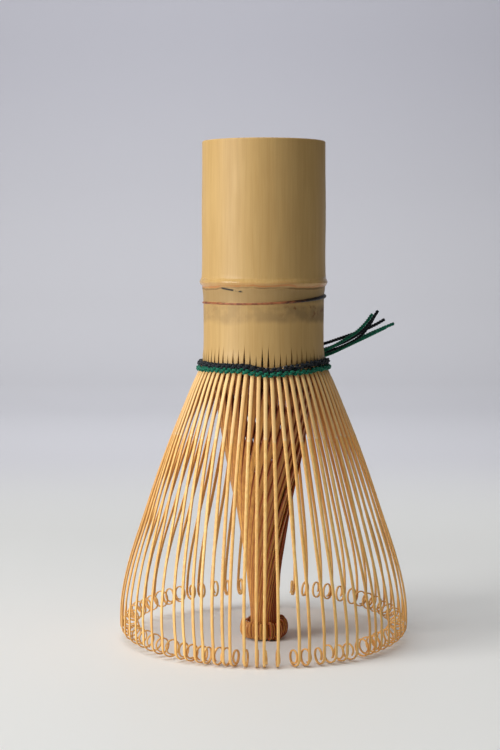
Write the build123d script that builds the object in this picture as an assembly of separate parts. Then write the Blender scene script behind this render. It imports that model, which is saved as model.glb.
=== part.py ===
from build123d import *
import os
from math import cos, radians, sin, tan

# Bamboo tea whisk: one culm, cut flat at the top, with the lower half split into an
# outer bell of curled tines and a twisted inner bundle, bound by two rows of thread.
# Millimetres. The origin is on the floor, on the culm's axis; +Z points up and the
# front faces -Y. Azimuths are measured from +X, anticlockwise seen from above.

# ---- overall sizes ----
BAND_Z = 60.5               # meeting line of the two thread rows; the tines hinge here
NECK_LENGTH = 18.7          # from the thread up to the node ridge
HANDLE_LENGTH = 30.8        # from the node ridge up to the flat top
BELL_RADIUS = 32.1          # widest radius of the outer tines
HANDLE_RADIUS = 13.55       # culm, at the top rim

# ---- culm ----
WALL = 2.6                  # wall of the upper internode
COMB_WALL = 1.75            # wall where the culm has been thinned and split
NODE_RISE = 0.62            # height of the ridge above the culm
SEPTUM = 3.0                # solid floor across the culm at the node
SCAR_DROP = 4.5             # the sheath scar rings the culm this far below the node
SCAR_RISE = 0.34
SCAR_HALF_HEIGHT = 0.42
SCAR_TILT = 1.7             # degrees; it climbs towards +X
NECK_STEP = 0.25            # the culm is this much slimmer below the node
COMB_STEP = 0.05            # and this much at its split end
COMB_RISE = 1.25            # the culm's solid wall ends this far above the band line
SLOT_HEIGHT = 3.2           # slots that split the wall's lower end into tongues
SLOT_STEP = 0.9             # how much their apexes rise and fall round the culm
RIM_CHAMFER = 0.25
RIM_STRAIGHT = 6.0          # straight stretch of the culm's face below the rim
COMB_STRAIGHT = 1.2         # straight stretch of its face above the split end
COMB_FADE = 5.5             # height above the split end where it is down to the neck
RIDGE_SIDE_DROP = 0.18      # the ridge's shoulders stand this much inside its crest
RIDGE_SHOULDERS = (0.5, 0.45)       # heights of the shoulders below and above the crest
# Height above or below the ridge and how far the face stands off the culm's radius.
BELOW_RIDGE = 1.3
ABOVE_RIDGE = ((1.5, 0.12), (5.5, 0.02), (14.0, 0.11))
THIN_WALL = (1.0, 4.0)      # heights above the slots over which the wall gets thin
SLOT_OVERCUT = 1.0          # the slots' cutters pass the wall by this much

# ---- outer tines ----
SEGMENTS = 16
TINES_PER_SEGMENT = 4
FIRST_EDGE = -80.5          # azimuth of the edge of the first segment
TINE_ROOT_WIDTH = 0.80
TINE_TIP_WIDTH = 0.60
TINE_ROOT_THICK = 0.50
TINE_TIP_THICK = 0.26
TINE_TOP_GAP = 0.22         # between a tine's root and the culm above it
TINE_ROOT_INSET = 0.05      # the tine's face sits this far inside the culm's face
CURL_RADII = (2.05, 1.78, 1.50)     # half turns of a curled tip, outermost first
CURL_LAST_TURN = 100.0      # degrees of the last, tightest stretch
BACK_LIFT = 3.2             # the rearmost tips stand this far off the floor
LEAN_EDGE = 0.35            # degrees; edge tines lean towards their own segment
LEAN_SPREAD = 0.45          # degrees of uneven lean on top of that
# Fall and spread of the bell from the band to the top of the curl, as shares.
BELL_SHAPE = ((0.21, 0.29), (0.39, 0.505), (0.58, 0.705), (0.76, 0.89), (0.90, 0.985))
BELL_TOP_SLOPE = 0.56       # outward travel for each unit of fall, at the root

# ---- inner tines ----
INNER_PER_SEGMENT = 2
INNER_TOP_RISE = 0.45       # their roots start this far above the band line
INNER_GAP = 0.18            # between their roots and the thread outside them
INNER_WAIST_RADIUS = 2.85
INNER_TWIST = -100.0        # degrees gathered from the root to the waist
INNER_TWIST_POWER = 1.6     # how much the twist is kept for the lower end
INNER_TWIST_END = 0.94      # share of the fall where the twist is complete
INNER_ROOT_WIDTH = 1.20
INNER_WAIST_WIDTH = 0.44
INNER_ROOT_THICK = 0.42
INNER_WAIST_THICK = 0.28
INNER_FORWARD = 2.2         # the gathered tips stand this far in front of the axis
INNER_FORWARD_POWER = 1.4   # how much of that comes near the lower end
INNER_CURL_RADIUS = 1.28
INNER_CURL_TURN = 262.0     # degrees
# Fall and gathering from root to waist, as shares; stations of the loft.
BUNDLE_SHAPE = (
    (0.0, 0.0), (0.12, 0.13), (0.26, 0.28), (0.40, 0.45),
    (0.54, 0.65), (0.68, 0.81), (0.84, 0.94), (0.94, 0.995), (1.0, 1.0),
)

# ---- thread ----
ROW_HEIGHT = 1.15
ROW_GAP = 0.10
BLACK_COVER = 0.45          # thread in front of the tines, black row
GREEN_COVER = 0.30
BACK_STRAND = 0.32          # thickness of the row behind the tines
POCKET_SIDE_GAP = 0.12      # from a tine's side to the thread beside it
POCKET_FACE_GAP = 0.16      # from a tine's face to the thread, at rest
SWING_OUT = 6.0             # degrees that a segment can spread
TAIL_DIAMETER = 0.55
KNOT_AZIMUTH = 101.0
KNOT_SIZE = (3.4, 2.2, 2.2)         # along the row, outwards, up
KNOT_STAND_OUT = 0.28       # share of the knot's depth from the row to its middle
KNOT_SPREAD = 14.0          # degrees between the two knots
TAIL_CORNER_SHARE = 0.45    # of a run that the arc at its end may use

# ---- derived ----
TINE_COUNT = SEGMENTS * TINES_PER_SEGMENT
PITCH = 360.0 / TINE_COUNT
SEGMENT_PITCH = 360.0 / SEGMENTS
NODE_Z = BAND_Z + NECK_LENGTH
TOP_Z = NODE_Z + HANDLE_LENGTH
SCAR_Z = NODE_Z - SCAR_DROP
COMB_END_Z = BAND_Z + COMB_RISE
SLOT_TOP_Z = COMB_END_Z + SLOT_HEIGHT
TINE_TOP_Z = COMB_END_Z - TINE_TOP_GAP
INNER_TOP_Z = BAND_Z + INNER_TOP_RISE
NECK_RADIUS = HANDLE_RADIUS - NECK_STEP
COMB_RADIUS = HANDLE_RADIUS - COMB_STEP
BLACK_LOW_Z = BAND_Z + ROW_GAP / 2
GREEN_LOW_Z = BAND_Z - ROW_GAP / 2 - ROW_HEIGHT
TINE_ROOT_R = COMB_RADIUS - TINE_ROOT_INSET - TINE_ROOT_THICK / 2
CURL_R = CURL_RADII[0]
TINE_END_R = BELL_RADIUS - TINE_TIP_THICK / 2

# Free ends of the threads, from the knot round the back of the culm to the right.
TAIL_ROUTES = {
    "black_tail_1": (
        (-3.9, 14.9, 61.75), (3.8, 15.9, 62.4), (11.8, 13.2, 64.1),
        (18.6, 10.4, 66.6), (25.0, 8.6, 69.0), (27.4, 7.6, 70.7),
    ),
    "black_tail_2": (
        (-3.6, 15.4, 61.6), (4.4, 16.6, 62.1), (12.6, 13.6, 63.0),
        (19.4, 9.6, 65.7), (23.6, 6.7, 69.0), (25.7, 5.2, 72.7),
    ),
    "black_tail_3": (
        (-4.1, 15.7, 60.95), (4.8, 17.8, 61.9), (13.4, 14.6, 62.6),
        (20.0, 10.9, 64.9), (23.6, 8.4, 68.2), (25.2, 7.4, 71.6),
    ),
    "green_tail_1": (
        (0.0, 15.5, 60.2), (5.6, 15.7, 60.9), (13.0, 12.4, 62.7),
        (18.6, 8.6, 66.0), (22.6, 5.2, 69.1), (24.3, 3.6, 72.0),
    ),
    "green_tail_2": (
        (-0.1, 16.0, 59.6), (6.0, 16.7, 60.2), (13.8, 13.6, 61.7),
        (19.8, 9.4, 64.9), (24.0, 6.6, 67.1), (27.6, 5.0, 69.0),
    ),
    "green_tail_3": (
        (0.05, 16.2, 60.25), (6.4, 17.6, 60.8), (14.4, 14.9, 62.3),
        (20.8, 11.4, 65.6), (25.6, 9.4, 68.0), (29.6, 8.2, 69.7),
    ),
}


def culm_radius(z):
    """Face of the culm at height z, without the node ridge and the scar."""
    share = min(max((z - SCAR_Z) / SCAR_DROP, 0.0), 1.0)
    return NECK_RADIUS + (HANDLE_RADIUS - NECK_RADIUS) * share


def wobble(index, seed):
    """Uneven but repeatable value from -1 to 1 for one tine."""
    value = sin(index * 12.9898 + seed * 78.233) * 43758.5453
    return 2.0 * (value - int(value // 1)) - 1.0


def tine_azimuth(segment, tine):
    """Azimuth of an outer tine's root."""
    return FIRST_EDGE + SEGMENT_PITCH * segment + PITCH * (tine + 0.5)


def tine_lean(segment, tine):
    """Sideways lean of an outer tine, in degrees, positive towards higher azimuth."""
    towards_centre = (TINES_PER_SEGMENT - 1) / 2.0 - tine
    share = towards_centre / (TINES_PER_SEGMENT / 2.0)
    uneven = wobble(segment * TINES_PER_SEGMENT + tine, 1) * LEAN_SPREAD
    if abs(share) > 0.5:
        uneven = abs(uneven) * (1.0 if share > 0 else -1.0)
    return share * LEAN_EDGE + uneven


def tip_lift(azimuth):
    """Height of a curled tip above the floor: none at the front, most at the back."""
    return BACK_LIFT * ((1.0 + sin(radians(azimuth))) / 2.0) ** 1.5


def curl_z(lift):
    """Height of the centre of a tip's curl."""
    return lift + CURL_R + TINE_TIP_THICK / 2


def bell_stem(lift, side):
    """One face of a tine's stem in its own radial plane; side is +1 outside."""
    points = []
    for fall, spread in ((0.0, 0.0), *BELL_SHAPE, (1.0, 1.0)):
        thick = TINE_ROOT_THICK + (TINE_TIP_THICK - TINE_ROOT_THICK) * fall
        z = TINE_TOP_Z + (curl_z(lift) - TINE_TOP_Z) * fall
        r = TINE_ROOT_R + (TINE_END_R - TINE_ROOT_R) * spread
        points.append((r + side * thick / 2, z))
    return Spline(*points, tangents=((BELL_TOP_SLOPE, -1.0), (0.0, -1.0)))


def bell_face(z, side):
    """Radius of a front tine's face at height z."""
    stem = bell_stem(0.0, side)
    if z >= TINE_TOP_Z:
        return (stem @ 0).X
    return stem.intersect(Line((0, z), (2 * BELL_RADIUS, z))).vertices()[0].X


def tine_profile(lift):
    """Closed outline of a tine in its radial plane: a bell curve, then the curl."""
    turns = [180.0] * (len(CURL_RADII) - 1) + [CURL_LAST_TURN]
    faces = {}
    for side in (1, -1):
        edges = [bell_stem(lift, side)]
        x = TINE_END_R
        heading = -1
        for radius, turn in zip(CURL_RADII, turns):
            centre = (x + heading * radius, curl_z(lift))
            start = 0.0 if heading < 0 else 180.0
            edges.append(CenterArc(centre, radius + side * TINE_TIP_THICK / 2, start, -turn))
            x += 2 * heading * radius
            heading = -heading
        faces[side] = edges
    root = Line(faces[1][0] @ 0, faces[-1][0] @ 0)
    tip = Line(faces[1][-1] @ 1, faces[-1][-1] @ 1)
    return make_face([*faces[1], *faces[-1], root, tip])


def outer_tine(azimuth, lean):
    """One outer tine, narrowing to its tip, leaned sideways and turned to its place."""
    flat = Plane.XZ * tine_profile(tip_lift(azimuth))
    blank = extrude(flat, TINE_ROOT_WIDTH, both=True)
    narrowing = (TINE_ROOT_WIDTH - TINE_TIP_WIDTH) / 2 / TINE_TOP_Z
    for side in (1, -1):
        keep = Plane(
            origin=(0, side * TINE_ROOT_WIDTH / 2, TINE_TOP_Z),
            z_dir=(0, -side, narrowing),
        )
        blank = split(blank, bisect_by=keep, keep=Keep.TOP)
    hinge = Axis((0, 0, BAND_Z), (1, 0, 0))
    return blank.rotate(hinge, lean).rotate(Axis.Z, azimuth)


def outer_segment(segment):
    """The tines cut from one sixteenth of the culm."""
    tines = [
        outer_tine(tine_azimuth(segment, tine), tine_lean(segment, tine))
        for tine in range(TINES_PER_SEGMENT)
    ]
    return Compound(children=tines)


def bundle_point(azimuth, fall, gather):
    """Centre of an inner tine at one station, with its azimuth there."""
    low_z = INNER_CURL_RADIUS + INNER_WAIST_THICK / 2
    z = INNER_TOP_Z + (low_z - INNER_TOP_Z) * fall
    root_r = row_radii(BLACK_LOW_Z, BLACK_COVER)[0] - INNER_GAP - INNER_ROOT_THICK / 2
    r = root_r + (INNER_WAIST_RADIUS - root_r) * gather
    angle = azimuth + INNER_TWIST * min(fall / INNER_TWIST_END, 1.0) ** INNER_TWIST_POWER
    forward = -INNER_FORWARD * fall ** INNER_FORWARD_POWER
    return Vector(r * cos(radians(angle)), r * sin(radians(angle)) + forward, z), angle


def inner_tine(azimuth):
    """One inner tine: a twisted tapering strip whose tip curls outwards."""
    stations = [bundle_point(azimuth, fall, gather) for fall, gather in BUNDLE_SHAPE]
    sections = []
    last = len(stations) - 1
    for index, (point, angle) in enumerate(stations):
        before = stations[max(index - 1, 0)][0]
        after = stations[min(index + 1, last)][0]
        along = (after - before).normalized()
        if index in (0, last):
            along = Vector(0, 0, -1)
        across = Vector(-sin(radians(angle)), cos(radians(angle)), 0)
        across = (across - along * across.dot(along)).normalized()
        fall = BUNDLE_SHAPE[index][0]
        width = INNER_ROOT_WIDTH + (INNER_WAIST_WIDTH - INNER_ROOT_WIDTH) * fall
        thick = INNER_ROOT_THICK + (INNER_WAIST_THICK - INNER_ROOT_THICK) * fall
        place = Plane(origin=point, x_dir=across, z_dir=along)
        sections.append(place * Rectangle(width, thick))
    stem = loft(sections)
    point, angle = stations[last]
    outward = Vector(cos(radians(angle)), sin(radians(angle)), 0)
    across = Vector(-sin(radians(angle)), cos(radians(angle)), 0)
    centre = point + outward * INNER_CURL_RADIUS
    curl = revolve(sections[last], Axis(centre, across * -1), INNER_CURL_TURN)
    return stem + curl


def inner_pair(segment):
    """The two inner tines cut from one sixteenth of the culm."""
    step = SEGMENT_PITCH / INNER_PER_SEGMENT
    start = FIRST_EDGE + SEGMENT_PITCH * segment
    tines = [inner_tine(start + step * (index + 0.5)) for index in range(INNER_PER_SEGMENT)]
    return Compound(children=tines)


def handle_culm():
    """The uncut culm: hollow top, node with its septum, scar ring and split lower end."""
    top_r = HANDLE_RADIUS
    ridge_r = culm_radius(NODE_Z) + NODE_RISE
    shoulder_r = ridge_r - RIDGE_SIDE_DROP
    under_z = NODE_Z - BELOW_RIDGE
    outer_top = Spline(
        (COMB_RADIUS, COMB_END_Z + COMB_STRAIGHT), (NECK_RADIUS, COMB_END_Z + COMB_FADE),
        (NECK_RADIUS, SCAR_Z), (culm_radius(under_z), under_z),
        (shoulder_r, NODE_Z - RIDGE_SHOULDERS[0]), (ridge_r, NODE_Z),
        (shoulder_r, NODE_Z + RIDGE_SHOULDERS[1]),
        *((top_r + off, NODE_Z + rise) for rise, off in ABOVE_RIDGE),
        (top_r, TOP_Z - RIM_STRAIGHT),
        tangents=((0.0, 1.0), (0.0, 1.0)),
    )
    inner_r = top_r - WALL
    comb_inner = COMB_RADIUS - COMB_WALL
    septum_low = NODE_Z - SEPTUM / 2
    septum_high = NODE_Z + SEPTUM / 2
    rest = Polyline(
        (top_r, TOP_Z - RIM_STRAIGHT), (top_r, TOP_Z), (inner_r, TOP_Z),
        (inner_r, septum_high), (0, septum_high), (0, septum_low), (inner_r, septum_low),
        (inner_r, SLOT_TOP_Z + THIN_WALL[1]), (comb_inner, SLOT_TOP_Z + THIN_WALL[0]),
        (comb_inner, COMB_END_Z), (COMB_RADIUS, COMB_END_Z),
        (COMB_RADIUS, COMB_END_Z + COMB_STRAIGHT),
    )
    culm = revolve(Plane.XZ * make_face([outer_top, *rest.edges()]), Axis.Z)
    rim = culm.edges().filter_by(GeomType.CIRCLE).filter_by_position(
        Axis.Z, TOP_Z - 0.01, TOP_Z + 0.01
    )
    culm = chamfer(rim, RIM_CHAMFER)
    scar = Torus(NECK_RADIUS - SCAR_HALF_HEIGHT + SCAR_RISE, SCAR_HALF_HEIGHT)
    culm = culm + Pos(0, 0, SCAR_Z) * Rot(0, -SCAR_TILT, 0) * scar
    return culm - comb_slots()


def comb_slots():
    """V slots that divide the wall's lower end into one tongue for each outer tine."""
    width = radians(PITCH) * COMB_RADIUS - TINE_ROOT_WIDTH
    slots = []
    for index in range(TINE_COUNT):
        top = SLOT_TOP_Z + SLOT_STEP * wobble(index, 3)
        outline = Polyline((-width / 2, 0), (width / 2, 0), (0, top - COMB_END_Z), close=True)
        face = make_face(outline)
        place = Plane(origin=(0, 0, COMB_END_Z), x_dir=(0, 1, 0), z_dir=(1, 0, 0))
        wedge = extrude(place * face, COMB_RADIUS + SLOT_OVERCUT)
        inner_cut = COMB_RADIUS - COMB_WALL - SLOT_OVERCUT
        wedge = split(wedge, bisect_by=Plane.YZ.offset(inner_cut), keep=Keep.TOP)
        slots.append(wedge.rotate(Axis.Z, FIRST_EDGE + PITCH * index))
    return Compound(children=slots)


def row_radii(low_z, cover):
    """Radii of a thread row: its back, its pockets' back and front, and its outside."""
    high_z = low_z + ROW_HEIGHT
    reach = max(abs(low_z - BAND_Z), abs(high_z - BAND_Z)) * tan(radians(SWING_OUT))
    pocket_in = bell_face(high_z, -1) - reach - POCKET_FACE_GAP
    pocket_out = bell_face(low_z, 1) + reach + POCKET_FACE_GAP
    return pocket_in - BACK_STRAND, pocket_in, pocket_out, pocket_out + cover


def thread_row(low_z, cover):
    """One row of twined thread: a band with a pocket round each outer tine."""
    back, pocket_in, pocket_out, outside = row_radii(low_z, cover)
    middle = Pos(0, 0, low_z + ROW_HEIGHT / 2)
    band = Cylinder(outside, ROW_HEIGHT) - Cylinder(back, ROW_HEIGHT)
    pocket_width = TINE_ROOT_WIDTH + 2 * POCKET_SIDE_GAP
    pocket = Box(pocket_out - pocket_in, pocket_width, ROW_HEIGHT * 2)
    pocket = Pos((pocket_out + pocket_in) / 2, 0, 0) * pocket
    pockets = [
        pocket.rotate(Axis.Z, FIRST_EDGE + PITCH * (index + 0.5))
        for index in range(TINE_COUNT)
    ]
    return middle * (band - Compound(children=pockets))


def knot(azimuth, low_z, cover):
    """A small hitch on the outside of a thread row."""
    along, out, up = KNOT_SIZE
    ball = scale(Sphere(0.5), by=(out, along, up))
    radius = row_radii(low_z, cover)[-1] + out * KNOT_STAND_OUT
    return (Pos(radius, 0, low_z + ROW_HEIGHT / 2) * ball).rotate(Axis.Z, azimuth)


def tail(points):
    """A free thread end: straight runs joined by arcs as large as the runs allow."""
    radii = []
    for before, corner, after in zip(points, points[1:], points[2:]):
        run_in = Vector(*corner) - Vector(*before)
        run_out = Vector(*after) - Vector(*corner)
        half_turn = radians(run_in.get_angle(run_out)) / 2
        shorter = min(run_in.length, run_out.length)
        radii.append(TAIL_CORNER_SHARE * shorter / tan(half_turn))
    path = FilletPolyline(*points, radius=radii)
    section = Plane(origin=path @ 0, z_dir=path % 0) * Circle(TAIL_DIAMETER / 2)
    print("tail", round(path.length, 2), "mm, radii", [round(r, 1) for r in radii])
    return sweep(section, path=path)


def write(name, shape):
    """Save one node."""
    solids = shape.solids()
    shape = solids[0] if len(solids) == 1 else Compound(children=list(solids))
    export_step(shape, os.path.join("parts", name + ".step"))


os.makedirs("parts", exist_ok=True)
write("handle_culm", handle_culm())
for number in range(SEGMENTS):
    write(f"outer_tines_{number + 1:02d}", outer_segment(number))
    write(f"inner_tines_{number + 1:02d}", inner_pair(number))
black_azimuth = KNOT_AZIMUTH + KNOT_SPREAD / 2
green_azimuth = KNOT_AZIMUTH - KNOT_SPREAD / 2
write("black_thread", thread_row(BLACK_LOW_Z, BLACK_COVER))
write("green_thread", thread_row(GREEN_LOW_Z, GREEN_COVER))
write("black_knot", knot(black_azimuth, BLACK_LOW_Z, BLACK_COVER))
write("green_knot", knot(green_azimuth, GREEN_LOW_Z, GREEN_COVER))
for tail_name, route in TAIL_ROUTES.items():
    write(tail_name, tail(route))
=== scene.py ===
"""Bamboo tea whisk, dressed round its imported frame.

The culm, the split tines, the twined threads and their free ends are built here in
metres, in the frame's own space: the floor at z = 0, the culm's axis at x = y = 0 and
the front towards -Y. Azimuths are degrees from +X, anticlockwise seen from above.
"""
import logging
from dataclasses import dataclass
from enum import Enum
from math import cos, exp, pi, radians, sin
from typing import Callable, Iterable, Sequence

import bmesh
import bpy
from mathutils import Matrix, Vector


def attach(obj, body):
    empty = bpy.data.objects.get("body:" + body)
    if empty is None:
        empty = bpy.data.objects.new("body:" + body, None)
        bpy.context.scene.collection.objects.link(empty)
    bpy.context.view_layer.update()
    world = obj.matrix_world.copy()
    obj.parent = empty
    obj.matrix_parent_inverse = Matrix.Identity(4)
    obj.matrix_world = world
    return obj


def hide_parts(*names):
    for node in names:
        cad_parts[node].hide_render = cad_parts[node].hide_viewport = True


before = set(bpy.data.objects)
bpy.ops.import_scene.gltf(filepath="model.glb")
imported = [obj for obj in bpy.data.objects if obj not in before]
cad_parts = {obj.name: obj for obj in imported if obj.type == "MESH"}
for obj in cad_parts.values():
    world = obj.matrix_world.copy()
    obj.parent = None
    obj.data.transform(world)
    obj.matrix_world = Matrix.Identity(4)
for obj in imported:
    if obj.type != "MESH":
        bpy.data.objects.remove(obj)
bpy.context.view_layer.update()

MM = 0.001
ROUND_SIDES = 7
SPLINT_SIDE, SPLINT_FACE = 0.60, 0.78    # where a splint's corners are cut
Colour = tuple[float, float, float]
Point = tuple[float, float, float]
Band = tuple[float, float, float]

log = logging.getLogger("tea_whisk")


def wobble(index: float, seed: float) -> float:
    """Uneven but repeatable value from -1 to 1."""
    value = sin(index * 12.9898 + seed * 78.233) * 43758.5453
    return 2.0 * (value - (value // 1)) - 1.0


def smooth_step(low: float, high: float, value: float) -> float:
    """Ease from 0 at low to 1 at high."""
    share = min(max((value - low) / (high - low), 0.0), 1.0)
    return share * share * (3.0 - 2.0 * share)


def linear(red: int, green: int, blue: int) -> Colour:
    """Linear colour of an 8-bit display colour."""
    def channel(value: int) -> float:
        share = value / 255.0
        return share / 12.92 if share <= 0.04045 else ((share + 0.055) / 1.055) ** 2.4
    return channel(red), channel(green), channel(blue)


@dataclass(frozen=True)
class Outline:
    """Smooth line through a few points, read by its first coordinate.

    Args:
        points: Pairs in rising order of the first value.
        first_slope: Slope at the first point, or None to take it from the points.
        last_slope: Slope at the last point, or None to take it from the points.
    """

    points: tuple[tuple[float, float], ...]
    first_slope: float | None = None
    last_slope: float | None = None

    def _slope(self, index: int) -> float:
        """Slope of the line at one of its points."""
        last = len(self.points) - 1
        if index == 0 and self.first_slope is not None:
            return self.first_slope
        if index == last and self.last_slope is not None:
            return self.last_slope
        before = self.points[max(index - 1, 0)]
        after = self.points[min(index + 1, last)]
        return (after[1] - before[1]) / (after[0] - before[0])

    def at(self, x: float) -> float:
        """Value of the line at x, held level past its ends."""
        if x <= self.points[0][0]:
            return self.points[0][1]
        for index in range(len(self.points) - 1):
            (x0, y0), (x1, y1) = self.points[index], self.points[index + 1]
            if x <= x1:
                span = x1 - x0
                t = (x - x0) / span
                rise_0, rise_1 = self._slope(index) * span, self._slope(index + 1) * span
                return (
                    (2 * t**3 - 3 * t**2 + 1) * y0 + (t**3 - 2 * t**2 + t) * rise_0
                    + (3 * t**2 - 2 * t**3) * y1 + (t**3 - t**2) * rise_1
                )
        return self.points[-1][1]


SIDE_DRIFT = Outline((
    (-180.0, 11.5), (-162.0, 12.8), (-145.2, 13.1), (-139.6, 14.1), (-133.9, 12.5),
    (-128.3, 11.3), (-122.7, 9.1), (-117.1, 7.6), (-111.4, 5.8), (-105.8, 2.9),
    (-100.2, 2.6), (-94.6, 1.5), (-88.9, -1.3), (-83.3, -1.7), (-77.7, 0.6),
    (-72.1, -1.1), (-66.4, -0.8), (-60.8, -1.4), (-55.2, -2.1), (-49.6, -3.0),
    (-43.9, -1.9), (-38.3, -4.1), (-32.7, -6.0), (-15.0, -6.2), (10.0, -3.4),
    (60.0, 1.0), (120.0, 6.0), (180.0, 11.5),
))


@dataclass(frozen=True)
class Sizes:
    """Sizes of the whisk that its pieces share, in millimetres and degrees."""

    comb_end_z: float = 61.75
    slot_height: float = 3.2
    slot_step: float = 0.9
    comb_radius: float = 13.5
    node_z: float = 79.2
    top_z: float = 110.0
    segments: int = 16
    tines_per_segment: int = 4
    inner_per_segment: int = 2
    first_edge: float = -80.5
    bell_radius: float = 32.1
    back_lift: float = 3.2
    uneven: float = 0.6

    @property
    def tine_count(self) -> int:
        """Number of outer tines."""
        return self.segments * self.tines_per_segment

    @property
    def pitch(self) -> float:
        """Degrees from one outer tine to the next."""
        return 360.0 / self.tine_count

    def azimuth(self, index: int) -> float:
        """Azimuth of an outer tine's root."""
        return self.first_edge + self.pitch * (index + 0.5)

    def drift(self, index: int) -> float:
        """Degrees that a tine's lower end has worked its way round the bell."""
        turn = (self.azimuth(index) + 180.0) % 360.0 - 180.0
        rear = smooth_step(-0.2, 0.3, sin(radians(turn)))
        return SIDE_DRIFT.at(turn) + self.uneven * rear * wobble(index, 1)

    def tip_lift(self, azimuth: float) -> float:
        """Height of a curled tip above the floor: none in front, most behind."""
        return self.back_lift * ((1.0 + sin(radians(azimuth))) / 2.0) ** 1.5


SIZES = Sizes()
BLACK_RISE = Outline((
    (-180.0, 0.25), (-165.0, 0.20), (-131.0, 0.10), (-107.0, 0.05), (-98.0, -0.35),
    (-86.0, -0.85), (-72.0, -0.50), (-56.0, 0.0), (-47.0, 0.30), (-30.0, 0.60),
    (0.0, 0.60), (60.0, 0.35), (120.0, 0.25), (180.0, 0.25),
))
GREEN_RISE = Outline((
    (-180.0, 0.35), (-165.0, 0.38), (-135.0, 0.48), (-118.0, 0.55), (-107.0, 0.35),
    (-99.0, 0.05), (-88.0, -0.22), (-72.0, -0.02), (-56.0, 0.18), (-47.0, 0.30),
    (-33.0, 0.62), (0.0, 0.66), (60.0, 0.40), (120.0, 0.35), (180.0, 0.35),
))


def row_dip(azimuth: float) -> float:
    """How far the split end and the tines' roots dip under a sagging thread row."""
    return min(BLACK_RISE.at((azimuth + 180.0) % 360.0 - 180.0), 0.0)


class Section(Enum):
    """Cross-sections that a swept strip may have."""

    SPLINT = "splint"
    ROUND = "round"

    def outline(self) -> list[tuple[float, float]]:
        """Points round the section, in half widths and half thicknesses."""
        if self is Section.ROUND:
            turns = [2 * pi * k / ROUND_SIDES for k in range(ROUND_SIDES)]
            return [(cos(turn), sin(turn)) for turn in turns]
        side, face = SPLINT_SIDE, SPLINT_FACE
        return [
            (1.0, -side), (1.0, side), (face, 1.0), (0.0, 1.0), (-face, 1.0),
            (-1.0, side), (-1.0, -side), (-face, -1.0), (0.0, -1.0), (face, -1.0),
        ]


@dataclass
class Station:
    """One cross-section of a swept strip.

    Args:
        centre: Middle of the section, in metres.
        across: Unit vector along the section's width.
        outward: Unit vector along the section's thickness, towards the culm's skin.
        width: Full width in metres.
        thick: Full thickness in metres.
    """

    centre: Vector
    across: Vector
    outward: Vector
    width: float
    thick: float


def finish_mesh(
    bm: bmesh.types.BMesh, name: str, material: bpy.types.Material
) -> bpy.types.Object:
    """Turn a bmesh into an object at the origin, in one material."""
    mesh = bpy.data.meshes.new(name)
    bm.to_mesh(mesh)
    bm.free()
    mesh.materials.append(material)
    piece = bpy.data.objects.new(name, mesh)
    bpy.context.scene.collection.objects.link(piece)
    return piece


class MeshBuilder:
    """Collects swept strips in one bmesh and turns them into a finished piece."""

    def __init__(self) -> None:
        """Start an empty mesh with a UV map and a colour attribute for the finishes."""
        self.bm = bmesh.new()
        self.uv = self.bm.loops.layers.uv.new("strip")
        self.marks = self.bm.verts.layers.float_color.new("marks")

    def strip(self, stations: Sequence[Station], section: Section, tone: float) -> None:
        """Sweep one closed strip through its stations.

        Args:
            stations: Cross-sections in order from the root to the tip.
            section: Shape of the cross-section.
            tone: Value from 0 to 1 that sets this strip apart from its neighbours.
        """
        rim = section.outline()
        count, sides = len(stations) - 1, len(rim)
        made = bmesh.ops.create_grid(self.bm, x_segments=count, y_segments=sides, size=0.5)
        verts = made["verts"]
        share = {vert: (vert.co.x + 0.5, vert.co.y + 0.5) for vert in verts}
        faces = {face for vert in verts for face in vert.link_faces}
        for face in faces:
            face.smooth = True
            for loop in face.loops:
                loop[self.uv].uv = share[loop.vert]
        for vert, (u, v) in share.items():
            station = stations[round(u * count)]
            x, y = rim[round(v * sides) % sides]
            vert.co = (
                station.centre
                + station.across * (x * station.width / 2)
                + station.outward * (y * station.thick / 2)
            )
            vert[self.marks] = (u, 0.5 + 0.5 * y, tone, abs(x))
        bmesh.ops.remove_doubles(self.bm, verts=verts, dist=1e-7)
        alive = [vert for vert in verts if vert.is_valid]
        open_edges = {e for vert in alive for e in vert.link_edges if e.is_boundary}
        bmesh.ops.holes_fill(self.bm, edges=list(open_edges), sides=sides)

    def piece(self, name: str, material: bpy.types.Material) -> bpy.types.Object:
        """Finish the mesh and put it in the scene.

        Args:
            name: Name of the piece.
            material: Finish of all its faces.

        Returns:
            The new object, at the origin.
        """
        bmesh.ops.recalc_face_normals(self.bm, faces=self.bm.faces[:])
        return finish_mesh(self.bm, name, material)


def settle(
    piece: bpy.types.Object, body: str, nodes: Iterable[str] = ()
) -> None:
    """Tie a piece to its body and the nodes it stands for."""
    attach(piece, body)
    names = list(nodes)
    if names:
        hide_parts(*names)
    log.info("%s rides %s with %d faces", piece.name, body, len(piece.data.polygons))


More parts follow.
